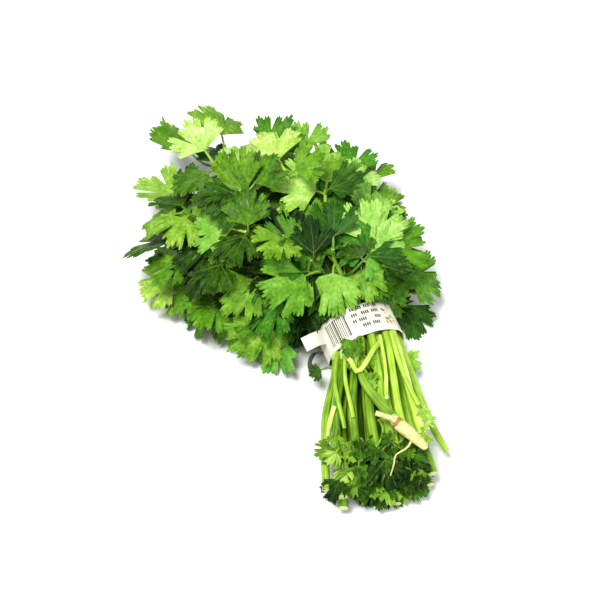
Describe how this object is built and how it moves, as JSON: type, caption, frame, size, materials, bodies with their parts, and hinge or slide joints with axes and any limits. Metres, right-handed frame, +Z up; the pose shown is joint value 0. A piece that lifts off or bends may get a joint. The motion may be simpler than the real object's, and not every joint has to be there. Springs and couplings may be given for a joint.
{
  "type": "cilantro bunch",
  "caption": "Fresh cilantro bunch lying on its side, tied with a white paper band, leaves fanned to one side.",
  "frame": {"origin": "on the surface the bunch lies on, under the middle of the paper band", "axes": "+Z up, +Y from the cut stem ends towards the leaves, +X to the right seen from the cut ends"},
  "size_m": [0.183, 0.2557, 0.0851],
  "materials": {
    "leafy_stem": "semi_matte",
    "root": "matte",
    "band": "semi_matte"
  },
  "bodies": {
    "root": {"paper_band": "band", "sprig_01": "leafy_stem", "sprig_02": "leafy_stem", "sprig_03": "leafy_stem", "sprig_04": "leafy_stem", "sprig_05": "leafy_stem", "sprig_06": "leafy_stem", "sprig_07": "leafy_stem", "sprig_08": "leafy_stem", "sprig_09": "leafy_stem", "sprig_10": "leafy_stem", "sprig_11": "leafy_stem", "sprig_12": "leafy_stem", "sprig_13": "leafy_stem", "sprig_14": "leafy_stem", "sprig_15": "leafy_stem", "sprig_16": "leafy_stem", "sprig_17": "leafy_stem", "sprig_18": "leafy_stem", "sprig_19": "leafy_stem", "sprig_20": "leafy_stem", "sprig_21": "leafy_stem", "sprig_22": "leafy_stem", "sprig_23": "leafy_stem", "sprig_24": "leafy_stem", "sprig_25": "leafy_stem", "sprig_26": "leafy_stem", "sprig_27": "leafy_stem", "sprig_28": "leafy_stem", "sprig_29": "leafy_stem", "sprig_30": "leafy_stem", "sprig_31": "leafy_stem", "sprig_32": "leafy_stem", "sprig_33": "leafy_stem", "sprig_34": "leafy_stem", "sprig_35": "leafy_stem", "taproot": "root"}
  },
  "joints": []
}
